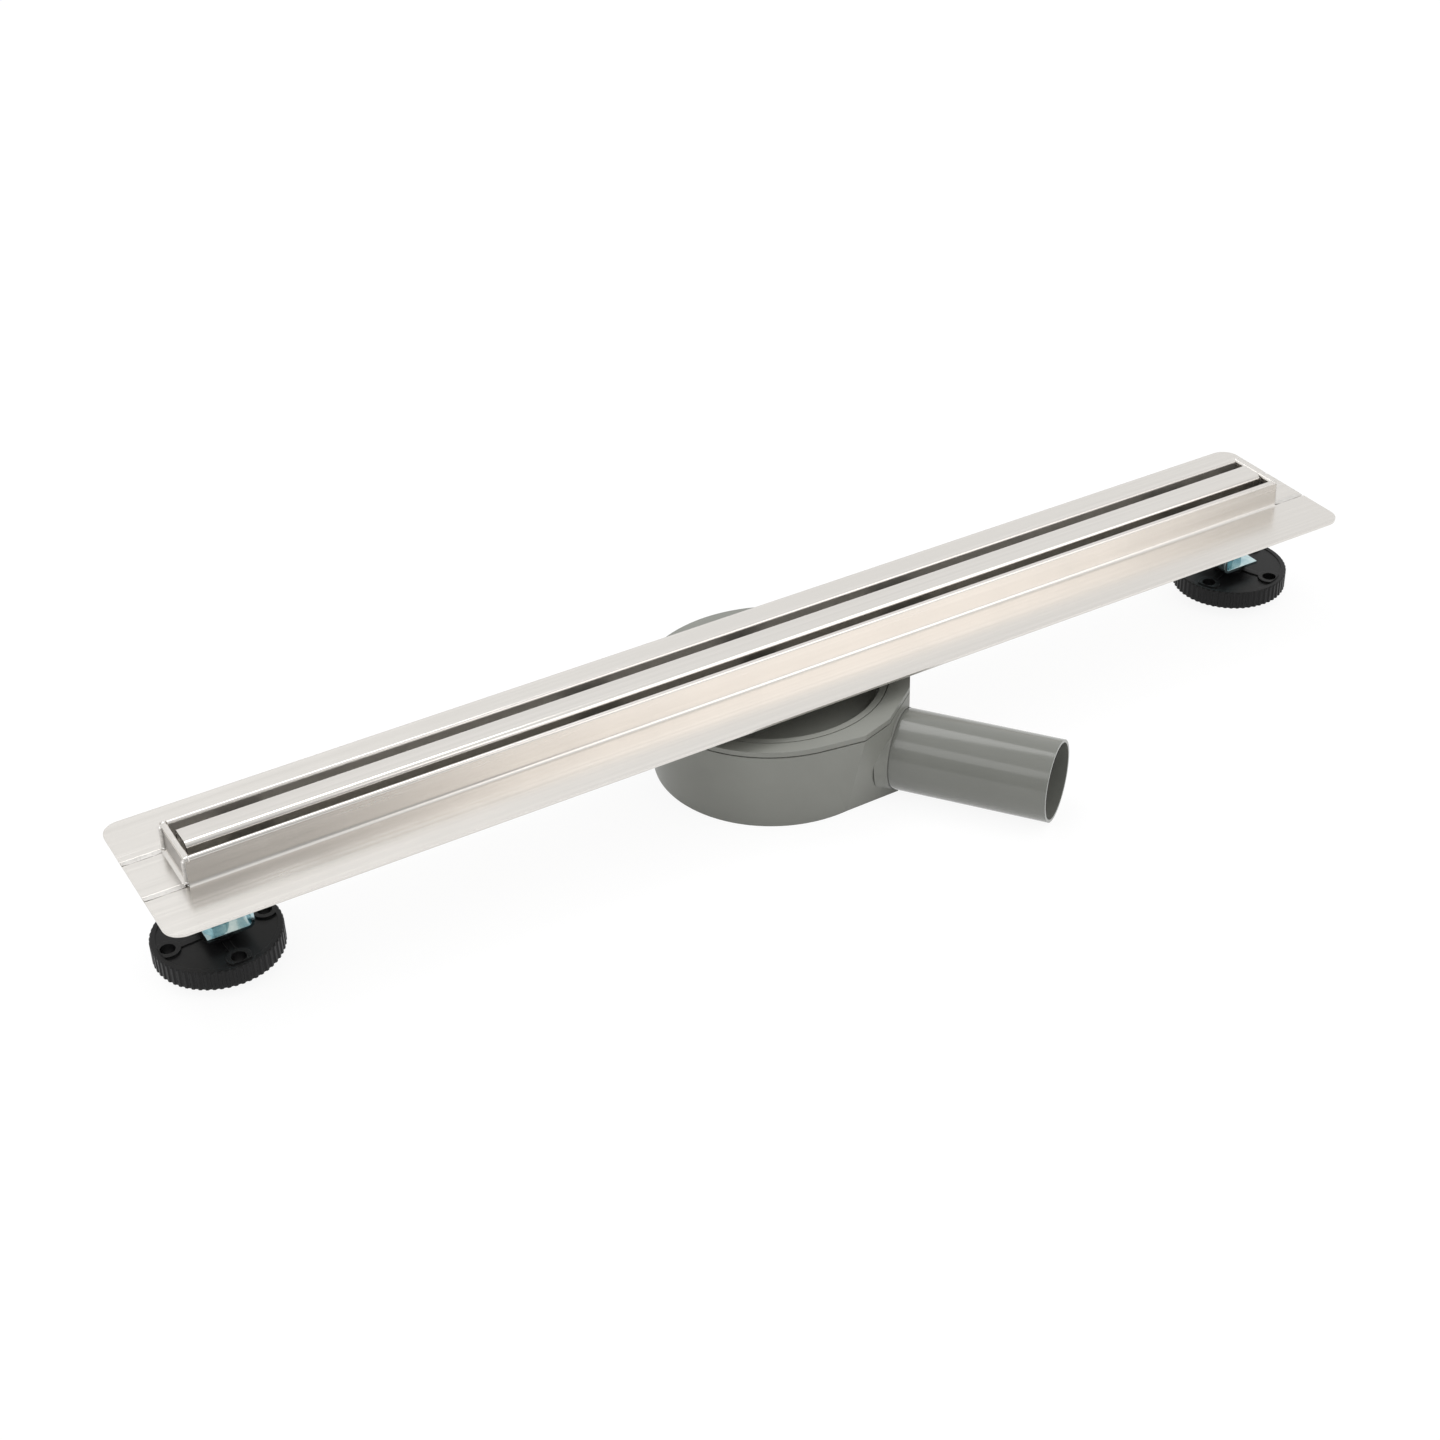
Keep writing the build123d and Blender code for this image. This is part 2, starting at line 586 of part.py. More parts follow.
def trap_dish():
    """The dish in the lid, with the neck that takes the channel's spigot."""
    neck_outer = NECK_BORE + NECK_WALL
    neck_top = FLOOR_BOTTOM - NECK_GAP
    ledge = DISH_UNDERSIDE + LID_LEDGE
    outline = [
        (SPIGOT_RADIUS + SUPPORT_GAP, DISH_UNDERSIDE),
        (LID_BORE_RADIUS - SKIRT_GAP, DISH_UNDERSIDE),
        (LID_BORE_RADIUS - SKIRT_GAP, ledge),
        (DISH_RADIUS, ledge),
        (DISH_RADIUS, LID_TOP),
        (DISH_RADIUS - DISH_RIM, LID_TOP),
        (DISH_RADIUS - DISH_RIM - DISH_WALL, DISH_FLOOR + DISH_WALL),
        (DISH_RADIUS - DISH_RIM - DISH_WALL, DISH_FLOOR),
        (neck_outer, DISH_FLOOR),
        (neck_outer, neck_top),
        (NECK_BORE, neck_top),
        (NECK_BORE, seal_foot()),
        (SPIGOT_RADIUS + SUPPORT_GAP, seal_foot()),
    ]
    return turned(outline)


def seal_foot():
    """Height of the ledge that the neck's seal stands on."""
    return FLOOR_BOTTOM - NECK_GAP - SEAL_TOP_INSET - SEAL_HEIGHT


def neck_seal():
    """The lip seal between the neck and the channel's spigot."""
    return ring(NECK_BORE, SPIGOT_RADIUS + RUNNING_CLEARANCE, seal_foot(), seal_foot() + SEAL_HEIGHT)


def dip_tube():
    """The tube under the dish that dips into the cup and makes the water seal."""
    foot = TRAP_WALL + CUP_WALL + DIP_TUBE_FOOT_GAP
    tube = ring(DIP_TUBE_BORE + DIP_TUBE_WALL, DIP_TUBE_BORE, foot, DISH_UNDERSIDE)
    flange_foot = DISH_UNDERSIDE - DIP_TUBE_FLANGE_THICKNESS
    return tube + ring(DIP_TUBE_FLANGE, DIP_TUBE_BORE, flange_foot, DISH_UNDERSIDE)


def siphon_cup():
    """The cup on the trap's floor, whose rim sets the water level."""
    cup = rod(CUP_RADIUS, TRAP_WALL, TRAP_WALL + CUP_HEIGHT)
    return cup - rod(CUP_RADIUS - CUP_WALL, TRAP_WALL + CUP_WALL, TRAP_WALL + CUP_HEIGHT)


def outlet_pipe():
    """The outlet pipe, its tapered end pushed over the nipple and cemented into the boss."""
    taper_end = SOCKET_START + PIPE_TAPER_LENGTH
    tube = outlet_bar(PIPE_RADIUS, taper_end, PIPE_REACH)
    taper = Cone(PIPE_RADIUS - PIPE_TAPER, PIPE_RADIUS, PIPE_TAPER_LENGTH)
    tube += along_outlet(Pos((SOCKET_START + taper_end) / 2, 0, 0) * Rot(0, 90, 0) * taper)
    return tube - outlet_bar(PIPE_RADIUS - PIPE_WALL, SOCKET_START, PIPE_REACH)


def all_parts():
    """Every piece of the drain by name."""
    parts = {
        "channel_body": channel_body(),
        "outlet_spigot": outlet_spigot(),
        "cover_strip": cover_strip(),
        "trap_body": trap_body(),
        "trap_lid": trap_lid(),
        "lid_seal": lid_seal(),
        "trap_dish": trap_dish(),
        "neck_seal": neck_seal(),
        "dip_tube": dip_tube(),
        "siphon_cup": siphon_cup(),
        "outlet_pipe": outlet_pipe(),
    }
    for number, x in enumerate(support_places(), start=1):
        parts[f"strip_support_{number}"] = strip_support(x)
    sided = {
        "end_plate": end_plate,
        "weld_beads": weld_beads,
        "bracket": bracket,
        "bracket_stud": bracket_stud,
        "bracket_nut": bracket_nut,
        "foot_nut": foot_nut,
        "foot_bolt": foot_bolt,
        "foot_disc": foot_disc,
    }
    for name, make in sided.items():
        parts[f"{name}_left"] = make(-1)
        parts[f"{name}_right"] = make(1)
    return parts


os.makedirs("parts", exist_ok=True)
for node, shape in all_parts().items():
    export_step(shape, f"parts/{node}.step")
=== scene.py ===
# Looks of the linear shower drain: brushed stainless channel, zinc-plated brackets, moulded plastic
# trap and feet, with the weld beads and screw threads as meshes. Metres, in the frame of the model.
import random
from math import cos, pi, radians, sin, sqrt

import bpy
from mathutils import Matrix, Vector, noise


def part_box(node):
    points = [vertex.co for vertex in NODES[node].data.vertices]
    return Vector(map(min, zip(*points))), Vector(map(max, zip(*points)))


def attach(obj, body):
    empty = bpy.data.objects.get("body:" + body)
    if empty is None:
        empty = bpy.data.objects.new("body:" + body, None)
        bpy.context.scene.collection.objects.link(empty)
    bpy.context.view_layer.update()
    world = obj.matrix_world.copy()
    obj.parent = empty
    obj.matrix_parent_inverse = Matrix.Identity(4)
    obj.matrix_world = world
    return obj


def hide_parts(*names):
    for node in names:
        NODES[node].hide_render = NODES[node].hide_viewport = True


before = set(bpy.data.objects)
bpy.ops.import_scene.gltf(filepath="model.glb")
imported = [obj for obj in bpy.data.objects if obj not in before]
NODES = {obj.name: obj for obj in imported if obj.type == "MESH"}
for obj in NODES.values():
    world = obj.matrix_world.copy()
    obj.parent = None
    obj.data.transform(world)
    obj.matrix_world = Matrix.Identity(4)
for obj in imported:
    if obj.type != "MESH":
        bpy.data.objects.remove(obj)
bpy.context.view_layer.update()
MM = 0.001
SIDES = (("left", -1), ("right", 1))
SUPPORTS = 4
ZINC_PARTS = ("bracket", "bracket_stud", "bracket_nut", "foot_nut", "foot_bolt")

# Camera: place, direction and lens of the photograph
CAMERA_PLACE = (-0.62463, -1.04759, 0.86016)
CAMERA_AZIMUTH = -29.296
CAMERA_ELEVATION = 34.347
CAMERA_ROLL = -1.990
CAMERA_LENS = 60.49
SENSOR_WIDTH = 36.0

# Section of the channel, measured down and outwards from the rim's level in the frame
RIM_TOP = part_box("channel_body")[1].z
RIM_HEIGHT = 18.0 * MM
RIM_HALF = 20.0 * MM
HEM = 3.6 * MM
FLANGE_TOP = RIM_TOP - RIM_HEIGHT
FLANGE_BEND = 2.2 * MM
SLOT_MARGIN = 0.05 * MM
SLOT_HALF = RIM_HALF - HEM + SLOT_MARGIN

# Steel: colours, waves of the brushing along each axis, and the softness of its edges
STEEL_LIGHT = (0.77, 0.745, 0.71)
STEEL_DARK = (0.72, 0.695, 0.66)
# Darker copies of the steel colours for the parts inside the channel: painted shade.
INSIDE_PAINTED_SHADE_LIGHT = (0.66, 0.645, 0.62)
INSIDE_PAINTED_SHADE_DARK = (0.56, 0.545, 0.53)
FINE_BRUSHING = (5.0, 1700.0, 1700.0)
STREAKS = (0.7, 420.0, 420.0)
STEEL_EDGE = 0.3 * MM

# Zones of painted shade with added roughness: an axis, a start and an end along it, a painted shade colour
# and an added roughness.
# Both sides of the middle are counted alike, and a start of minus the blend width takes in the middle.
PAINTED_SHADE_BLEND = 0.3 * MM
# Inside the slot: painted shade darkens the steel, and its roughness is raised.
SLOT_ROUGH_AND_PAINTED_SHADE = ("Y", -PAINTED_SHADE_BLEND, SLOT_HALF, (0.66, 0.64, 0.61), 0.14)
# End walls, from the flange bend up to the hem: painted shade darkens the steel, and its roughness is
# raised.
END_WALL_ROUGH_AND_PAINTED_SHADE = ("Z", FLANGE_TOP + FLANGE_BEND, RIM_TOP - HEM, (0.40, 0.385, 0.37), 0.06)

# Softness of the other edges
ZINC_EDGE = 0.35 * MM
PLASTIC_EDGE = 0.4 * MM

# Sockets of the node that mixes two colours
MIX_FACTOR, MIX_FIRST, MIX_SECOND, MIX_RESULT = 0, 6, 7, 2

# Welds, placed by the boxes of the end plate and of its plain welds
WELD_LOW, WELD_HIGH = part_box("weld_beads_right")
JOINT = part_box("end_plate_right")[1].y
RIM_END = WELD_LOW.x
WELD_SEED = 7
PHASES = 10

# Ground seams along the flange: lengths, shares of the half width, and noise in waves a metre
SEAM_START = RIM_END + 1.8 * MM
SEAM_END = WELD_HIGH.x - 0.2 * MM
SEAM_FADE = (8, 6)
SEAM_HALF = 2.2 * MM
SEAM_UNEVEN = 0.14
SEAM_TAPER = 0.3
SEAM_SWAY = 0.4 * MM
SEAM_RISE = 0.035 * MM
SEAM_EDGE = 0.04 * MM
SEAM_FLAT = 0.72
SEAM_PITCH = 1.7 * MM
SEAM_CURL = 0.45
WIDTH_WAVES, SWAY_WAVES, GRINDING_WAVES = 300, 120, 110
SEAM_ROWS, SEAM_COLUMNS = 180, 17

# Beads up the corners of the upstand
BEAD_RADIUS = 1.55 * MM
BEAD_TIP = 0.05 * MM
BEAD_RIPPLE = 0.16 * MM
BEAD_BLOB = 0.9 * MM
BEAD_BLOB_FALL = 7
BEAD_SWAY = 0.7 * MM
BEAD_WAVES = 190
BEAD_FADE = (14, 12)
BEAD_PROUD = 0.05 * MM
BEAD_LOW = FLANGE_TOP + 0.3 * MM
BEAD_HIGH = RIM_TOP - 1.4 * MM
BEAD_PITCH = 1.5 * MM
BEAD_ROWS, BEAD_SIDES = 110, 24

# Caps over the corners of the hem
CAP_RADIUS = HEM / 2 + 0.25 * MM
CAP_ROWS, CAP_SIDES = 14, 24

# Threads of the foot bolts and bracket studs
BOLT_RADIUS = 4.0 * MM
BOLT_FLATS = 13.0 * MM
BOLT_HEAD = 5.3 * MM
BOLT_PITCH = 1.25 * MM
BOLT_DEPTH = 0.62 * MM
STUD_PITCH = 1.0 * MM
STUD_DEPTH = 0.5 * MM
THREAD_RUNOUT = 0.8
THREAD_FLANK = 0.42
THREAD_STEPS, THREAD_SIDES = 8, 28
HEX_SIDES = 6

# Room: its brightness grows from dark to bright as a direction turns towards ROOM_BRIGHT_WAY
ROOM_BRIGHT_WAY = Vector((0.35, 0.80, 0.45)).normalized()
ROOM_DARK, ROOM_BRIGHT = 0.42, 0.95
ROOM_DARK_UP_TO, ROOM_BRIGHT_FROM = -0.7, 0.4
LIGHTS_AIM = (0, 0, 0.07)

# Floor
FLOOR_SIZE = 12.0
FLOOR_DROP = 0.2 * MM
FLOOR_SHADE = (0.86, 0.86, 0.86)
FLOOR_GLOW = 1.05
FLOOR_GLOW_SHARE = 0.86


class Nodes:
    """A node tree, with short ways to add and feed its nodes."""

    def __init__(self, tree):
        self.tree = tree

    def add(self, kind, **values):
        node = self.tree.nodes.new(kind)
        for key, value in values.items():
            setattr(node, key, value)
        return node

    def feed(self, socket, value):
        """Links an output to a socket, or sets a number or a colour on it."""
        if isinstance(value, bpy.types.NodeSocket):
            self.tree.links.new(value, socket)
        elif isinstance(value, tuple):
            socket.default_value = (*value, 1.0)
        else:
            socket.default_value = value

    def math(self, operation, *values):
        node = self.add("ShaderNodeMath", operation=operation)
        for socket, value in zip(node.inputs, values):
            self.feed(socket, value)
        return node.outputs["Value"]

    def spread(self, value, low, high, start=0.3, end=0.7, interpolation="LINEAR"):
        """A value remapped from start..end to low..high."""
        node = self.add("ShaderNodeMapRange", interpolation_type=interpolation)
        limits = (("From Min", start), ("From Max", end), ("To Min", low), ("To Max", high))
        for label, limit in limits:
            self.feed(node.inputs[label], limit)
        self.feed(node.inputs["Value"], value)
        return node.outputs["Result"]


class Shader(Nodes):
    """A new material and its nodes."""

    def __init__(self, name, **settings):
        self.material = bpy.data.materials.new(name)
        self.material.use_nodes = True
        super().__init__(self.material.node_tree)
        self.surface = self.tree.nodes["Principled BSDF"]
        for key, value in settings.items():
            self.feed(self.surface.inputs[key.replace("_", " ")], value)
        self.place = self.add("ShaderNodeTexCoord").outputs["Object"]

    def noise(self, waves, detail, rough=0.55):
        """Noise with so many waves a metre, given as one number or as one for each axis."""
        where, scale = self.place, waves
        if isinstance(waves, tuple):
            mapping = self.add("ShaderNodeMapping")
            mapping.inputs["Scale"].default_value = waves
            self.feed(mapping.inputs["Vector"], self.place)
            where, scale = mapping.outputs["Vector"], 1.0
        node = self.add("ShaderNodeTexNoise")
        for label, value in (("Vector", where), ("Scale", scale), ("Detail", detail), ("Roughness", rough)):
            self.feed(node.inputs[label], value)
        return node.outputs["Fac"]

    def blend(self, factor, first, second):
        """A colour between two colours or colour outputs."""
        node = self.add("ShaderNodeMix", data_type="RGBA")
        for index, value in ((MIX_FACTOR, factor), (MIX_FIRST, first), (MIX_SECOND, second)):
            self.feed(node.inputs[index], value)
        return node.outputs[MIX_RESULT]

    def soft_edges(self, radius):
        node = self.add("ShaderNodeBevel", samples=4)
        node.inputs["Radius"].default_value = radius
        return node.outputs["Normal"]

    def bump(self, height, distance, strength, edge=None):
        """A normal roughened by a height, over edges softened to a radius if one is given."""
        node = self.add("ShaderNodeBump")
        for label, value in (("Distance", distance), ("Strength", strength), ("Height", height)):
            self.feed(node.inputs[label], value)
        if edge:
            self.feed(node.inputs["Normal"], self.soft_edges(edge))
        return node.outputs["Normal"]

    def finish(self, color, rough, normal):
        """The material, with the colour, roughness and normal of its surface."""
        for label, value in (("Base Color", color), ("Roughness", rough), ("Normal", normal)):
            self.feed(self.surface.inputs[label], value)
        return self.material


def brushed_steel(name, light, dark, roughness, rough_and_painted_shade=None):
    """Stainless steel brushed along X, darkened with painted shade and made rougher over part of it if a
    zone is given.
    """
    s = Shader(name, Metallic=1.0, Anisotropic=0.35)
    fine = s.noise(FINE_BRUSHING, detail=2.0, rough=0.6)
    streaks = s.noise(STREAKS, detail=1.0, rough=0.4)
    cloud = s.noise(22.0, detail=3.0)
    both = s.math("ADD", s.math("MULTIPLY", fine, 0.5), s.math("MULTIPLY", streaks, 0.5))
    color = s.blend(s.spread(both, 0.0, 1.0, 0.34, 0.66), dark, light)
    rough = s.math("ADD", s.spread(both, *roughness), s.spread(cloud, -0.02, 0.03))
    if rough_and_painted_shade:
        axis, start, end, painted_shade, added = rough_and_painted_shade
        axes = s.add("ShaderNodeSeparateXYZ")
        s.feed(axes.inputs["Vector"], s.place)
        place = s.math("ABSOLUTE", axes.outputs[axis])
        after = s.spread(place, 0.0, 1.0, start, start + PAINTED_SHADE_BLEND)
        before = s.spread(place, 1.0, 0.0, end, end + PAINTED_SHADE_BLEND)
        share = s.math("MULTIPLY", after, before)
        # Painted shade: over the zone the colour is blended towards a darker one, and the roughness is
        # raised.
        color = s.blend(share, color, painted_shade)
        rough = s.math("ADD", rough, s.math("MULTIPLY", share, added))
    tangent = s.add("ShaderNodeTangent", direction_type="RADIAL", axis="X")
    s.feed(s.surface.inputs["Tangent"], tangent.outputs["Tangent"])
    return s.finish(color, rough, s.bump(both, 0.004 * MM, 0.4, STEEL_EDGE))


def zinc_plate():
    """Bright zinc plating with a blue tint and faint iridescent patches."""
    s = Shader("zinc_plate", Metallic=1.0)
    patch = s.noise(90.0, detail=3.0)
    fine = s.noise(900.0, detail=2.0)
    color = s.blend(s.spread(patch, 0.0, 1.0), (0.32, 0.50, 0.56), (0.66, 0.79, 0.79))
    return s.finish(color, s.spread(fine, 0.08, 0.16), s.bump(fine, 0.01 * MM, 0.5, ZINC_EDGE))


def moulded_plastic(name, light, dark, roughness, grain, depth, gloss=0.5):
    """Injection-moulded plastic with a fine skin texture and slight clouding."""
    s = Shader(name, Specular_IOR_Level=gloss)
    cloud = s.noise(26.0, detail=4.0)
    skin = s.noise(grain, detail=2.0)
    color = s.blend(s.spread(cloud, 0.0, 1.0), dark, light)
    rough = s.math("ADD", s.spread(skin, *roughness), s.spread(cloud, -0.02, 0.02))
    return s.finish(color, rough, s.bump(skin, depth, 0.5, PLASTIC_EDGE))


def rubber():
    """Black seal rubber."""
    s = Shader("seal_rubber")
    bloom = s.noise(160.0, detail=3.0)
    color = s.blend(s.spread(bloom, 0.0, 1.0), (0.014, 0.014, 0.015), (0.030, 0.030, 0.031))
    return s.finish(color, s.spread(bloom, 0.55, 0.75), s.bump(bloom, 0.02 * MM, 0.4))


def weld_metal():
    """Bright weld metal with fine ripples and a faint straw tint."""
    s = Shader("weld_metal", Metallic=1.0)
    tint = s.noise(220.0, detail=2.0)
    ripple = s.noise((900.0, 300.0, 900.0), detail=1.0)
    color = s.blend(s.spread(tint, 0.0, 1.0), (0.64, 0.62, 0.595), (0.76, 0.74, 0.71))
    return s.finish(color, s.spread(ripple, 0.26, 0.38), s.bump(ripple, 0.05 * MM, 0.5))


def paint(material, *names):
    """Gives CAD nodes a material in all their slots."""
    for name in names:
        mesh = NODES[name].data
        mesh.materials.clear()
        mesh.materials.append(material)


def mesh_piece(name, points, faces, material, body, replaced):
    """A new smooth-shaded piece that rides on a body and stands for a CAD node."""
    mesh = bpy.data.meshes.new(name)
    mesh.from_pydata(points, [], faces)
    mesh.validate()
    mesh.polygons.foreach_set("use_smooth", [True] * len(mesh.polygons))
    mesh.materials.append(material)
    made = bpy.data.objects.new(name, mesh)
    bpy.context.scene.collection.objects.link(made)
    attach(made, body)
    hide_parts(replaced)


def add_rows(points, faces, rows, closed=False):
    """Adds a grid through rows of points or, if closed, a tube through rings with both ends capped."""
    first, count, across = len(points), len(rows), len(rows[0])
    for row in rows:
        points += row
    for i in range(count - 1):
        for j in range(across if closed else across - 1):
            a = first + i * across + j
            b = first + i * across + (j + 1) % across
            faces.append((a, b, b + across, a + across))
    if closed:
        last = len(points) - across
        faces.append(tuple(first + j for j in reversed(range(across))))
        faces.append(tuple(last + j for j in range(across)))


def ring(x, y, z, radius, sides, start=0.0):
    """Points round a vertical axis."""
    turns = [start + 2 * pi * j / sides for j in range(sides)]
    return [(x + radius * cos(a), y + radius * sin(a), z) for a in turns]


def wander(place, waves, phase, lane=0):
    """Smooth noise along a weld, with so many waves a metre. Lanes are independent of each other."""
    return noise.noise((place * waves, phase, lane))


def fade(u, rise, fall):
    """A share that grows from 0 where u is 0 and shrinks to 0 where u is 1."""
    return min(1.0, u * rise, (1 - u) * fall)


def ground_seam(side_x, side_y, rng):
    """Rows of a flat weld seam along the flange, rippled, wandering and part ground down."""
    phase = rng.uniform(0, PHASES)
    rows = []
    for i in range(SEAM_ROWS):
        u = i / (SEAM_ROWS - 1)
        x = SEAM_START + (SEAM_END - SEAM_START) * u
        share = fade(u, *SEAM_FADE)
        uneven = 1 - SEAM_UNEVEN + SEAM_UNEVEN * wander(x, WIDTH_WAVES, phase)
        half = SEAM_HALF * uneven * (1 - SEAM_TAPER + SEAM_TAPER * share)
        middle = JOINT + SEAM_SWAY * wander(x, SWAY_WAVES, phase, lane=5)
        proud = max(0.0, wander(x, GRINDING_WAVES, phase, lane=9))
        row = []
        for j in range(SEAM_COLUMNS):
            v = 2 * j / (SEAM_COLUMNS - 1) - 1
            ripple = 0.5 + 0.5 * sin(2 * pi * (x / SEAM_PITCH + SEAM_CURL * v * v))
            if abs(v) < SEAM_FLAT:
                height = SEAM_RISE * (1 - (v / SEAM_FLAT) ** 2) * (0.5 + proud * ripple)
            else:
                height = -SEAM_EDGE * sin(pi * (abs(v) - SEAM_FLAT) / (1 - SEAM_FLAT))
            row.append((side_x * x, side_y * (middle + half * v), FLANGE_TOP + height * share))
        rows.append(row)
    return rows


def corner_bead(side_x, side_y, rng):
    """Rings of the rippled bead up a corner of the upstand, with a rounded blob at its foot."""
    phase = rng.uniform(0, PHASES)
    rings = []
    for i in range(BEAD_ROWS):
        u = i / (BEAD_ROWS - 1)
        z = BEAD_LOW + (BEAD_HIGH - BEAD_LOW) * u
        y = JOINT + BEAD_SWAY * wander(z, BEAD_WAVES, phase)
        ripple = BEAD_RIPPLE * sin(2 * pi * z / BEAD_PITCH)
        blob = BEAD_BLOB * max(0.0, 1 - u * BEAD_BLOB_FALL)
        radius = (BEAD_RADIUS + ripple + blob) * sqrt(fade(u, *BEAD_FADE)) + BEAD_TIP
        rings.append(ring(side_x * (RIM_END + BEAD_PROUD), side_y * y, z, radius, BEAD_SIDES))
    return rings


def corner_cap(side_x, side_y):
    """Rings of the rounded weld that closes the rolled hems where they meet at a corner."""
    x, y, z = side_x * (RIM_END - HEM / 2), side_y * (RIM_HALF - HEM / 2), RIM_TOP - HEM / 2
    rings = []
    for i in range(CAP_ROWS):
        tilt = pi * (i + 0.5) / CAP_ROWS
        rings.append(ring(x, y, z - CAP_RADIUS * cos(tilt), CAP_RADIUS * sin(tilt), CAP_SIDES))
    return rings


def weld_piece(side, side_x):
    """All the welds of one end."""
    rng = random.Random(WELD_SEED + side_x)
    points, faces = [], []
    for side_y in (-1, 1):
        add_rows(points, faces, ground_seam(side_x, side_y, rng))
        add_rows(points, faces, corner_bead(side_x, side_y, rng), closed=True)
        add_rows(points, faces, corner_cap(side_x, side_y), closed=True)
    mesh_piece(f"weld_{side}", points, faces, weld, "channel", f"weld_beads_{side}")


def thread(x, radius, low, high, pitch, depth):
    """Rings of a screw thread, whose radius follows the helix and runs out at the top."""
    steps = int((high - low) / pitch * THREAD_STEPS)
    rings = []
    for i in range(steps + 1):
        z = low + (high - low) * i / steps
        runout = min(1.0, (high - z) / (THREAD_RUNOUT * pitch))
        row = []
        for j in range(THREAD_SIDES):
            a = 2 * pi * j / THREAD_SIDES
            turn = (z / pitch - j / THREAD_SIDES) % 1.0
            groove = max(0.0, 1 - abs(turn - 0.5) / THREAD_FLANK)
            r = radius - depth * groove - depth * (1 - runout)
            row.append((x + r * cos(a), r * sin(a), z))
        rings.append(row)
    return rings


def foot_bolt_piece(side):
    """The threaded bolt of a foot and its hexagon head, in place of the plain one."""
    low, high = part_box(f"foot_bolt_{side}")
    x = (low.x + high.x) / 2
    neck = low.z + BOLT_HEAD
    head = [ring(x, 0.0, z, BOLT_FLATS / sqrt(3), HEX_SIDES, pi / 6) for z in (low.z, neck)]
    points, faces = [], []
    add_rows(points, faces, head, closed=True)
    add_rows(points, faces, thread(x, BOLT_RADIUS, neck, high.z, BOLT_PITCH, BOLT_DEPTH), closed=True)
    mesh_piece(f"bolt_{side}", points, faces, zinc, f"foot_{side}", f"foot_bolt_{side}")


def bracket_stud_piece(side):
    """The threaded stud under the channel, in place of the plain one, with its runout at the bottom."""
    low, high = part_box(f"bracket_stud_{side}")
    radius = (high.y - low.y) / 2
    rings = thread((low.x + high.x) / 2, radius, low.z, high.z, STUD_PITCH, STUD_DEPTH)
    turned_over = [[(x, y, low.z + high.z - z) for x, y, z in row] for row in rings]
    points, faces = [], []
    add_rows(points, faces, turned_over, closed=True)
    faces = [tuple(reversed(face)) for face in faces]
    mesh_piece(f"stud_{side}", points, faces, zinc, "channel", f"bracket_stud_{side}")


def camera():
    """The photograph's camera, from its place, direction, roll and lens."""
    a, e, r = radians(CAMERA_AZIMUTH), radians(CAMERA_ELEVATION), radians(CAMERA_ROLL)
    back = Vector((sin(a) * cos(e), -cos(a) * cos(e), sin(e)))
    right = (-back).cross(Vector((0, 0, 1))).normalized()
    up = right.cross(-back)
    turned_right = right * cos(r) + up * sin(r)
    turned_up = up * cos(r) - right * sin(r)
    data = bpy.data.cameras.new("camera")
    data.lens = CAMERA_LENS
    data.sensor_width = SENSOR_WIDTH
    data.clip_start = 0.05
    data.clip_end = 50.0
    made = bpy.data.objects.new("camera", data)
    axes = Matrix((turned_right, turned_up, back)).transposed()
    made.matrix_world = Matrix.Translation(CAMERA_PLACE) @ axes.to_4x4()
    bpy.context.scene.collection.objects.link(made)
    bpy.context.scene.camera = made


def area_light(name, place, size, power, color=(1.0, 1.0, 1.0)):
    """A rectangular softbox aimed at the object."""
    data = bpy.data.lights.new(name, "AREA")
    data.shape = "RECTANGLE"
    data.size, data.size_y = size
    data.energy = power
    data.color = color
    made = bpy.data.objects.new(name, data)
    aim = Vector(LIGHTS_AIM) - Vector(place)
    made.matrix_world = Matrix.Translation(place) @ aim.to_track_quat("-Z", "Y").to_matrix().to_4x4()
    bpy.context.scene.collection.objects.link(made)


def studio_world():
    """White where the camera looks past the object, and for all else a room that is bright behind it."""
    world = bpy.data.worlds.new("studio")
    bpy.context.scene.world = world
    world.use_nodes = True
    w = Nodes(world.node_tree)
    facing = w.add("ShaderNodeVectorMath", operation="DOT_PRODUCT")
    facing.inputs[1].default_value = ROOM_BRIGHT_WAY
    w.feed(facing.inputs[0], w.add("ShaderNodeTexCoord").outputs["Generated"])
    room = w.spread(facing.outputs["Value"], ROOM_DARK, ROOM_BRIGHT, ROOM_DARK_UP_TO, ROOM_BRIGHT_FROM,
                    interpolation="SMOOTHSTEP")
    rays = w.add("ShaderNodeLightPath").outputs
    seen = w.math("MAXIMUM", rays["Is Camera Ray"], rays["Is Transmission Ray"])
    level = w.add("ShaderNodeMix")
    for label, value in (("Factor", seen), ("A", room), ("B", 1.0)):
        w.feed(level.inputs[label], value)
    background = w.tree.nodes["Background"]
    w.feed(background.inputs["Strength"], level.outputs["Result"])
    w.feed(background.inputs["Color"], (1.0, 1.0, 1.0))


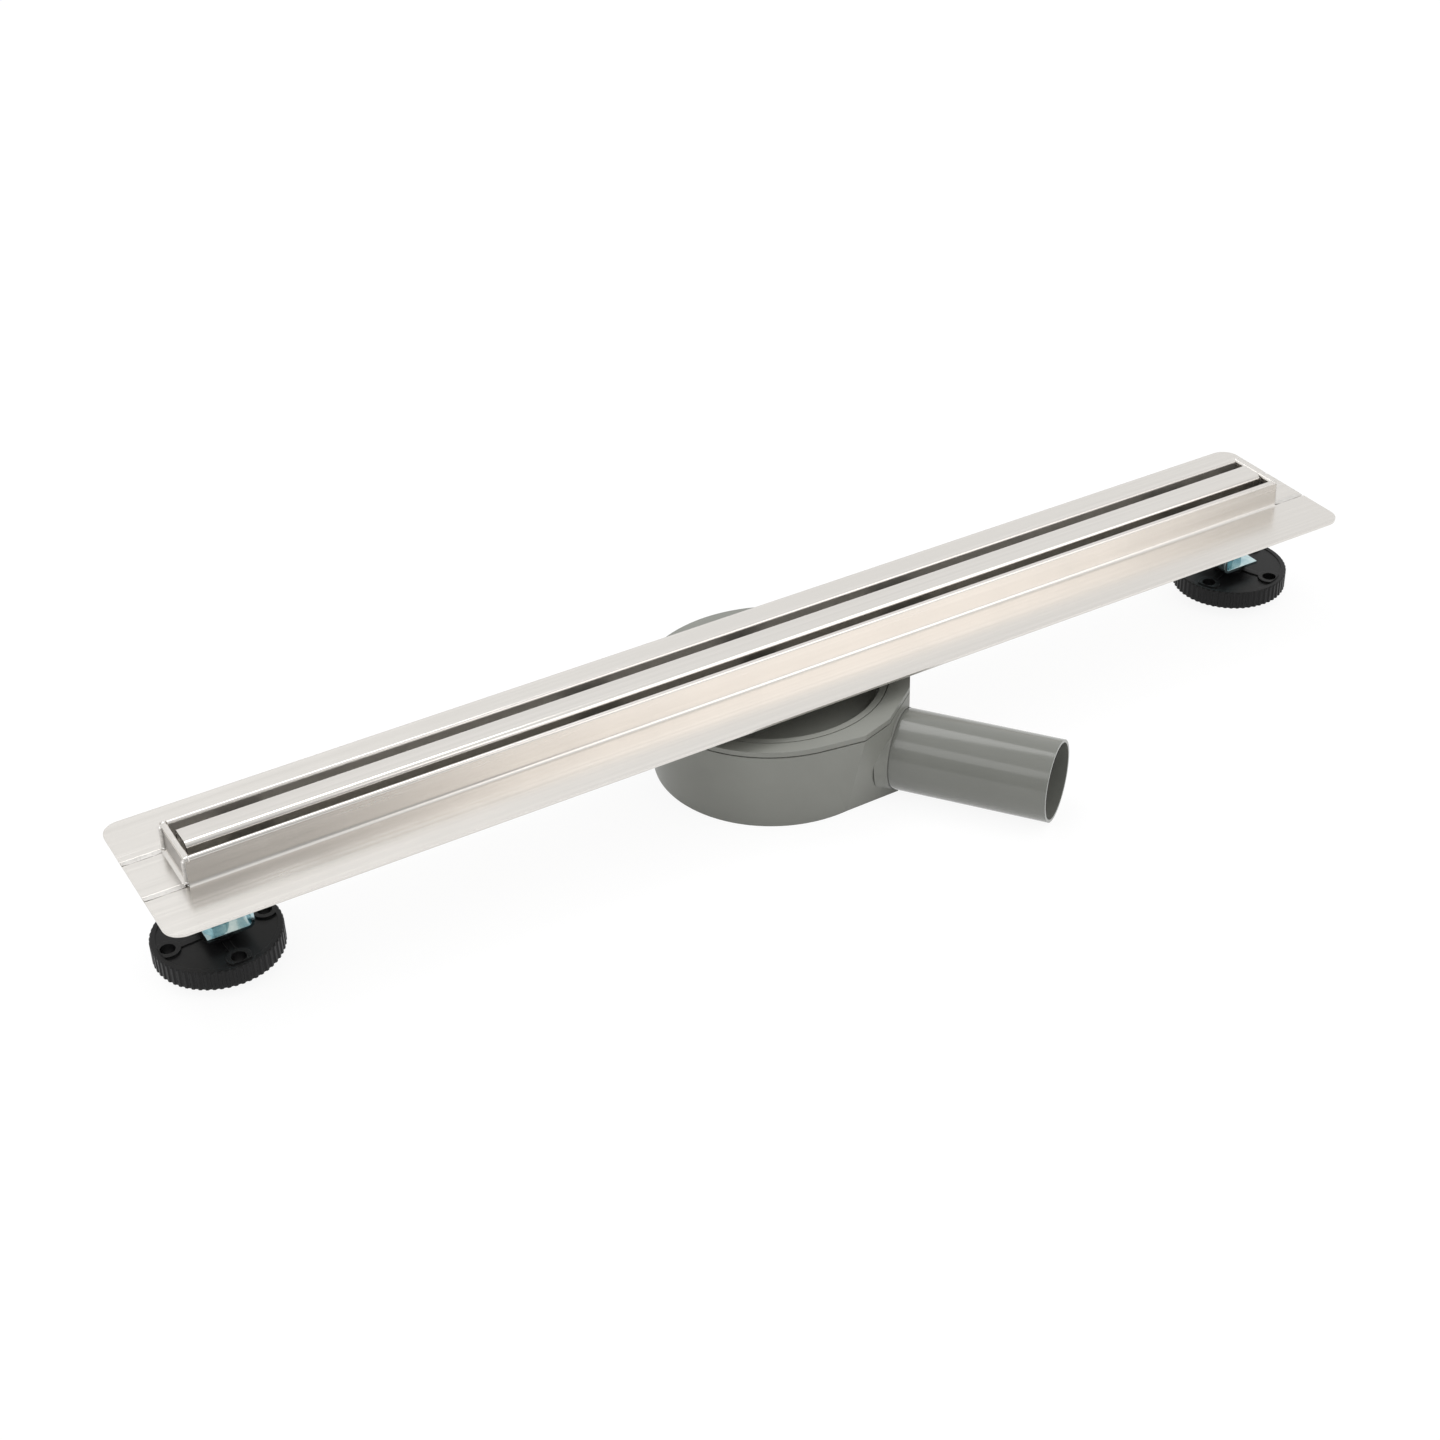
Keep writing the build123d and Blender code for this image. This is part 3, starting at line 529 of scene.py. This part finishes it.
def floor():
    """A white floor that keeps the object's soft shadow."""
    bpy.ops.mesh.primitive_plane_add(size=FLOOR_SIZE, location=(0, 0, -FLOOR_DROP))
    made = bpy.context.object
    made.name = "studio_floor"
    s = Shader("floor_white", Base_Color=FLOOR_SHADE, Roughness=0.9, Specular_IOR_Level=0.0)
    rays = s.add("ShaderNodeLightPath").outputs
    seen = s.math("MAXIMUM", rays["Is Camera Ray"], rays["Is Glossy Ray"])
    seen = s.math("MAXIMUM", seen, rays["Is Transmission Ray"])
    glow = s.add("ShaderNodeEmission")
    glow.inputs["Strength"].default_value = FLOOR_GLOW
    mix = s.add("ShaderNodeMixShader")
    parts = (s.math("MULTIPLY", seen, FLOOR_GLOW_SHARE), s.surface.outputs["BSDF"], glow.outputs["Emission"])
    for socket, value in zip(mix.inputs, parts):
        s.feed(socket, value)
    s.feed(s.tree.nodes["Material Output"].inputs["Surface"], mix.outputs["Shader"])
    made.data.materials.append(s.material)


steel = brushed_steel("stainless_brushed", STEEL_LIGHT, STEEL_DARK, (0.12, 0.17))
# The channel's slot walls carry painted shade.
channel_steel = brushed_steel("stainless_channel", STEEL_LIGHT, STEEL_DARK, (0.20, 0.26), SLOT_ROUGH_AND_PAINTED_SHADE)
# The end plates' walls carry painted shade.
end_steel = brushed_steel("stainless_end", STEEL_LIGHT, STEEL_DARK, (0.20, 0.26), END_WALL_ROUGH_AND_PAINTED_SHADE)
# The spigot and strip supports inside the channel: the same brushed steel, rougher and darkened with painted
# shade.
steel_inside_painted_shade = brushed_steel("stainless_inside_painted_shade", INSIDE_PAINTED_SHADE_LIGHT, INSIDE_PAINTED_SHADE_DARK, (0.24, 0.32))
zinc = zinc_plate()
grey = moulded_plastic("trap_grey", (0.245, 0.250, 0.226), (0.225, 0.230, 0.208), (0.36, 0.46),
                       grain=2200.0, depth=0.02 * MM)
pipe_grey = moulded_plastic("pipe_grey", (0.200, 0.205, 0.186), (0.185, 0.190, 0.172), (0.10, 0.15),
                            grain=900.0, depth=0.006 * MM)
black = moulded_plastic("foot_black", (0.009, 0.009, 0.0095), (0.006, 0.006, 0.0065), (0.30, 0.42),
                        grain=1500.0, depth=0.03 * MM, gloss=0.22)
seal = rubber()
weld = weld_metal()

paint(channel_steel, "channel_body")
paint(end_steel, "end_plate_left", "end_plate_right")
paint(steel, "cover_strip")
paint(steel_inside_painted_shade, "outlet_spigot", *[f"strip_support_{i + 1}" for i in range(SUPPORTS)])
paint(grey, "trap_body", "trap_lid", "trap_dish", "dip_tube", "siphon_cup")
paint(pipe_grey, "outlet_pipe")
paint(seal, "lid_seal", "neck_seal")
for side, side_x in SIDES:
    paint(zinc, *[f"{name}_{side}" for name in ZINC_PARTS])
    paint(black, f"foot_disc_{side}")
    paint(weld, f"weld_beads_{side}")
    weld_piece(side, side_x)
    foot_bolt_piece(side)
    bracket_stud_piece(side)

bpy.context.scene.view_settings.view_transform = "Standard"
camera()
studio_world()
floor()
area_light("front_box", place=(0.88, -1.42, 1.00), size=(1.05, 1.65), power=5.9, color=(1.0, 0.954, 0.937))
area_light("top_box", place=(-0.16, 0.72, 1.86), size=(1.3, 0.8), power=9.0)
area_light("left_box", place=(-1.45, -0.20, 1.45), size=(1.2, 0.7), power=4.0)
